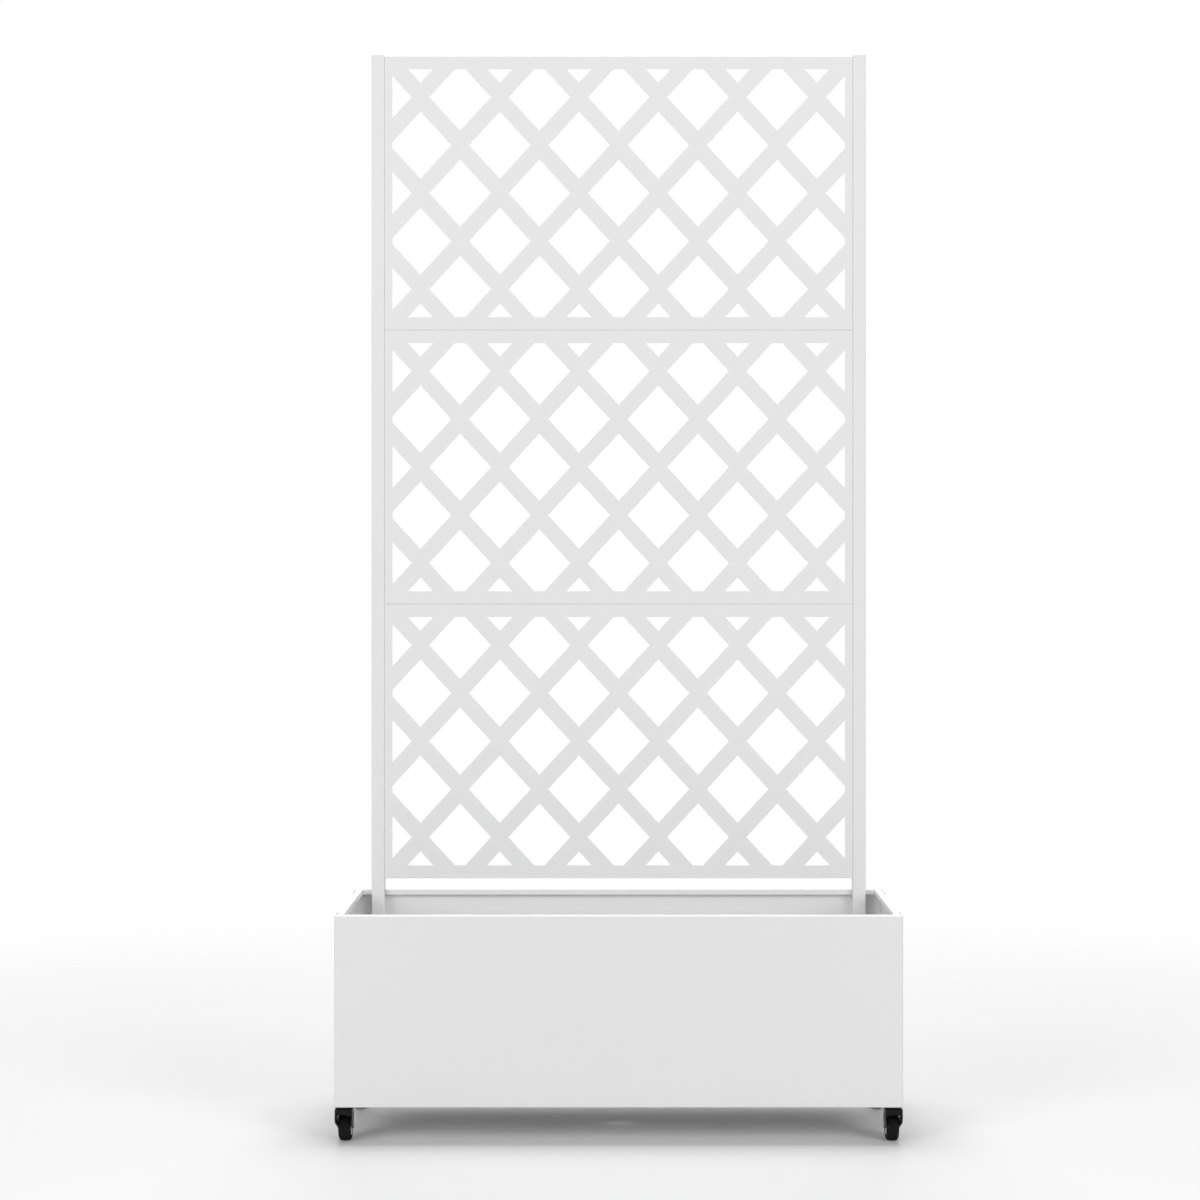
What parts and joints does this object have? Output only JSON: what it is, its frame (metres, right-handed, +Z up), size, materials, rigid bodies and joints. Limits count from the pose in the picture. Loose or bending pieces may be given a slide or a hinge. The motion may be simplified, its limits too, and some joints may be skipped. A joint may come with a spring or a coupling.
{
  "type": "planter with trellis",
  "caption": "Rectangular sheet metal planter box on swivel casters, with a tall diamond lattice trellis between two square posts at the back.",
  "frame": {"origin": "on the ground under the middle of the whole planter", "axes": "+Z up, +X to the right as seen from the front, +Y to the back, where the trellis stands"},
  "size_m": [0.9046, 0.3024, 1.7852],
  "materials": {
    "white_coat": "matt white powder coat on sheet steel",
    "white_plastic": "white moulded plastic, matt",
    "black_steel": "black coated pressed steel, half matt",
    "tyre_rubber": "black moulded rubber, matt",
    "hub_plastic": "grey moulded plastic, matt",
    "zinc_steel": "zinc plated steel"
  },
  "bodies": {
    "planter": {"front_wall": "white_coat", "back_wall": "white_coat", "left_wall": "white_coat", "right_wall": "white_coat", "floor_panel": "white_coat", "left_post": "white_coat", "left_post_cap": "white_plastic", "right_post": "white_coat", "right_post_cap": "white_plastic", "lattice_panel_1": "white_coat", "lattice_panel_2": "white_coat", "lattice_panel_3": "white_coat", "front_left_corner_screw_1": "white_coat", "front_left_corner_screw_2": "white_coat", "back_left_corner_screw_1": "white_coat", "back_left_corner_screw_2": "white_coat", "left_post_screw_1": "white_coat", "left_post_screw_2": "white_coat", "left_panel_screw_1": "zinc_steel", "left_panel_screw_2": "zinc_steel", "left_panel_screw_3": "zinc_steel", "left_panel_screw_4": "zinc_steel", "left_panel_screw_5": "zinc_steel", "left_panel_screw_6": "zinc_steel", "front_right_corner_screw_1": "white_coat", "front_right_corner_screw_2": "white_coat", "back_right_corner_screw_1": "white_coat", "back_right_corner_screw_2": "white_coat", "right_post_screw_1": "white_coat", "right_post_screw_2": "white_coat", "right_panel_screw_1": "zinc_steel", "right_panel_screw_2": "zinc_steel", "right_panel_screw_3": "zinc_steel", "right_panel_screw_4": "zinc_steel", "right_panel_screw_5": "zinc_steel", "right_panel_screw_6": "zinc_steel", "front_left_caster_stem": "black_steel", "front_left_caster_nut": "zinc_steel", "front_right_caster_stem": "black_steel", "front_right_caster_nut": "zinc_steel", "back_left_caster_stem": "black_steel", "back_left_caster_nut": "zinc_steel", "back_right_caster_stem": "black_steel", "back_right_caster_nut": "zinc_steel"},
    "front_left_swivel_fork": {"front_left_caster_fork": "black_steel", "front_left_caster_axle": "zinc_steel"},
    "front_left_wheel": {"front_left_caster_hub": "hub_plastic", "front_left_caster_tyre": "tyre_rubber"},
    "front_right_swivel_fork": {"front_right_caster_fork": "black_steel", "front_right_caster_axle": "zinc_steel"},
    "front_right_wheel": {"front_right_caster_hub": "hub_plastic", "front_right_caster_tyre": "tyre_rubber"},
    "back_left_swivel_fork": {"back_left_caster_fork": "black_steel", "back_left_caster_axle": "zinc_steel"},
    "back_left_wheel": {"back_left_caster_hub": "hub_plastic", "back_left_caster_tyre": "tyre_rubber"},
    "back_right_swivel_fork": {"back_right_caster_fork": "black_steel", "back_right_caster_axle": "zinc_steel"},
    "back_right_wheel": {"back_right_caster_hub": "hub_plastic", "back_right_caster_tyre": "tyre_rubber"}
  },
  "joints": [
    {"name": "front_left_swivel", "type": "hinge", "parent": "planter", "child": "front_left_swivel_fork", "pos_m": [-0.436, -0.13515, 0.0564], "axis": [0, 0, 1], "continuous": true},
    {"name": "front_left_roll", "type": "hinge", "parent": "front_left_swivel_fork", "child": "front_left_wheel", "pos_m": [-0.436, -0.11115, 0.02479], "axis": [1, 0, 0], "continuous": true},
    {"name": "front_right_swivel", "type": "hinge", "parent": "planter", "child": "front_right_swivel_fork", "pos_m": [0.436, -0.13515, 0.0564], "axis": [0, 0, 1], "continuous": true},
    {"name": "front_right_roll", "type": "hinge", "parent": "front_right_swivel_fork", "child": "front_right_wheel", "pos_m": [0.436, -0.11115, 0.02479], "axis": [1, 0, 0], "continuous": true},
    {"name": "back_left_swivel", "type": "hinge", "parent": "planter", "child": "back_left_swivel_fork", "pos_m": [-0.436, 0.13285, 0.0564], "axis": [0, 0, 1], "continuous": true},
    {"name": "back_left_roll", "type": "hinge", "parent": "back_left_swivel_fork", "child": "back_left_wheel", "pos_m": [-0.436, 0.10885, 0.02479], "axis": [1, 0, 0], "continuous": true},
    {"name": "back_right_swivel", "type": "hinge", "parent": "planter", "child": "back_right_swivel_fork", "pos_m": [0.436, 0.13285, 0.0564], "axis": [0, 0, 1], "continuous": true},
    {"name": "back_right_roll", "type": "hinge", "parent": "back_right_swivel_fork", "child": "back_right_wheel", "pos_m": [0.436, 0.10885, 0.02479], "axis": [1, 0, 0], "continuous": true}
  ]
}
